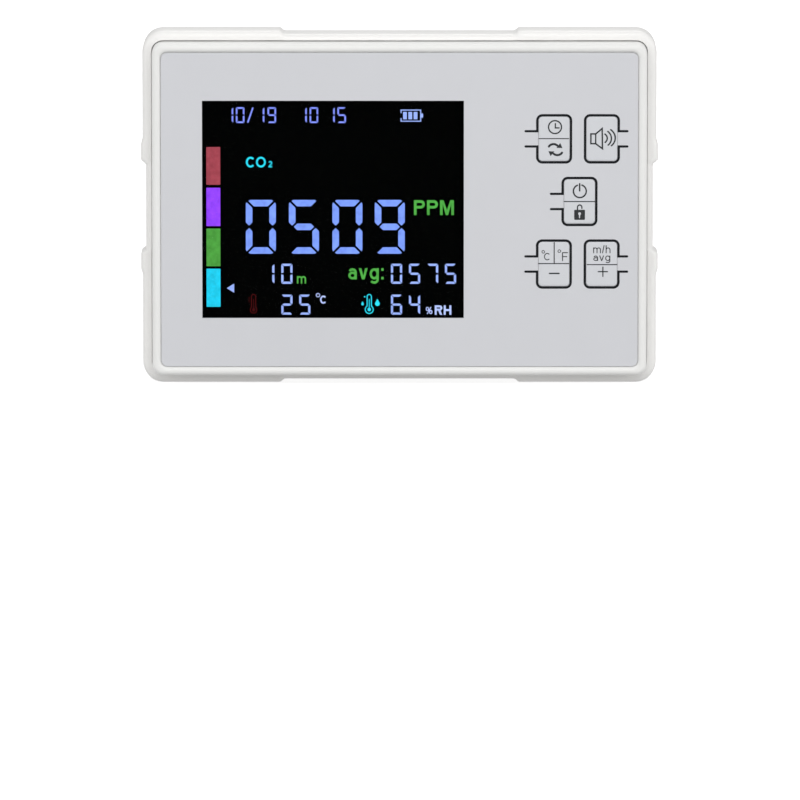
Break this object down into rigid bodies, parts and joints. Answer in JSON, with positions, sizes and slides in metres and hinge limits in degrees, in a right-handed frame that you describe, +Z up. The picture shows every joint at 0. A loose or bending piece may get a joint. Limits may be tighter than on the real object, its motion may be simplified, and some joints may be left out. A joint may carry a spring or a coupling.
{
  "type": "carbon dioxide monitor",
  "caption": "Flat desk or wall air monitor: three-part white case with vents and a keyhole at the back, black display window and a group of sprung membrane keys at the front.",
  "frame": {"origin": "middle of the footprint, on the surface that the monitor stands on", "axes": "+X to the right of someone facing the display, +Y from the display to the back, +Z up"},
  "size_m": [0.1466, 0.032, 0.1002],
  "materials": {
    "case_white": "fine satin moulded ABS",
    "frame_white": "fine satin moulded ABS",
    "overlay_film": "matt printed film",
    "key_film": "matt embossed printed film",
    "clear_window": "polished clear acrylic",
    "display_black": "black segment display",
    "dark_plastic": "matt dark grey plastic",
    "filter_mesh": "dark woven dust mesh",
    "black_foam": "closed-cell foam",
    "diffuser_white": "milky diffuser",
    "black_plastic": "matt black plastic",
    "tinned_metal": "tinned metal",
    "board_green": "green solder mask",
    "screw_steel": "zinc-plated steel",
    "chip_black": "moulded chip resin",
    "can_aluminium": "bare aluminium can",
    "gold_cavity": "gold-plated cavity",
    "white_membrane": "white filter membrane",
    "pouch_silver": "laminated foil pouch",
    "wire_red": "silicone wire insulation",
    "wire_black": "silicone wire insulation",
    "connector_white": "moulded connector",
    "plunger_white": "moulded ABS"
  },
  "bodies": {
    "case": {"front_bezel": "case_white", "mid_frame": "frame_white", "rear_cover": "case_white", "front_overlay": "overlay_film", "display_window": "clear_window", "hanger_pocket": "dark_plastic", "dust_filter": "filter_mesh", "display_gasket": "black_foam", "display_glass": "display_black", "display_backlight": "diffuser_white", "display_tray": "black_plastic", "display_pins": "tinned_metal", "main_board": "board_green", "board_screws": "screw_steel", "controller_chip": "chip_black", "charger_chip": "chip_black", "board_capacitors": "can_aluminium", "switch_bases": "black_plastic", "switch_domes": "tinned_metal", "switch_leads": "tinned_metal", "gas_sensor_base": "board_green", "gas_sensor_chamber": "gold_cavity", "gas_sensor_filter": "white_membrane", "gas_sensor_pins": "tinned_metal", "humidity_sensor": "chip_black", "buzzer": "black_plastic", "battery_cell": "pouch_silver", "battery_pad": "black_foam", "battery_lead_red": "wire_red", "battery_lead_black": "wire_black", "battery_plug": "connector_white", "battery_socket": "connector_white", "charging_port_shell": "tinned_metal", "charging_port_tongue": "black_plastic"},
    "clock_key": {"key_clock_face": "key_film", "key_clock_plunger": "plunger_white", "key_clock_stem": "black_plastic"},
    "sound_key": {"key_sound_face": "key_film", "key_sound_plunger": "plunger_white", "key_sound_stem": "black_plastic"},
    "power_key": {"key_power_face": "key_film", "key_power_plunger": "plunger_white", "key_power_stem": "black_plastic"},
    "unit_key": {"key_unit_face": "key_film", "key_unit_plunger": "plunger_white", "key_unit_stem": "black_plastic"},
    "average_key": {"key_average_face": "key_film", "key_average_plunger": "plunger_white", "key_average_stem": "black_plastic"}
  },
  "joints": [
    {"name": "clock_key_press", "type": "slide", "parent": "case", "child": "clock_key", "axis": [0, 1, 0], "range_m": [0, 0.00035], "stiffness_N_per_m": 3500, "springref_m": -0.0002},
    {"name": "sound_key_press", "type": "slide", "parent": "case", "child": "sound_key", "axis": [0, 1, 0], "range_m": [0, 0.00035], "stiffness_N_per_m": 3500, "springref_m": -0.0002},
    {"name": "power_key_press", "type": "slide", "parent": "case", "child": "power_key", "axis": [0, 1, 0], "range_m": [0, 0.00035], "stiffness_N_per_m": 3500, "springref_m": -0.0002},
    {"name": "unit_key_press", "type": "slide", "parent": "case", "child": "unit_key", "axis": [0, 1, 0], "range_m": [0, 0.00035], "stiffness_N_per_m": 3500, "springref_m": -0.0002},
    {"name": "average_key_press", "type": "slide", "parent": "case", "child": "average_key", "axis": [0, 1, 0], "range_m": [0, 0.00035], "stiffness_N_per_m": 3500, "springref_m": -0.0002}
  ]
}
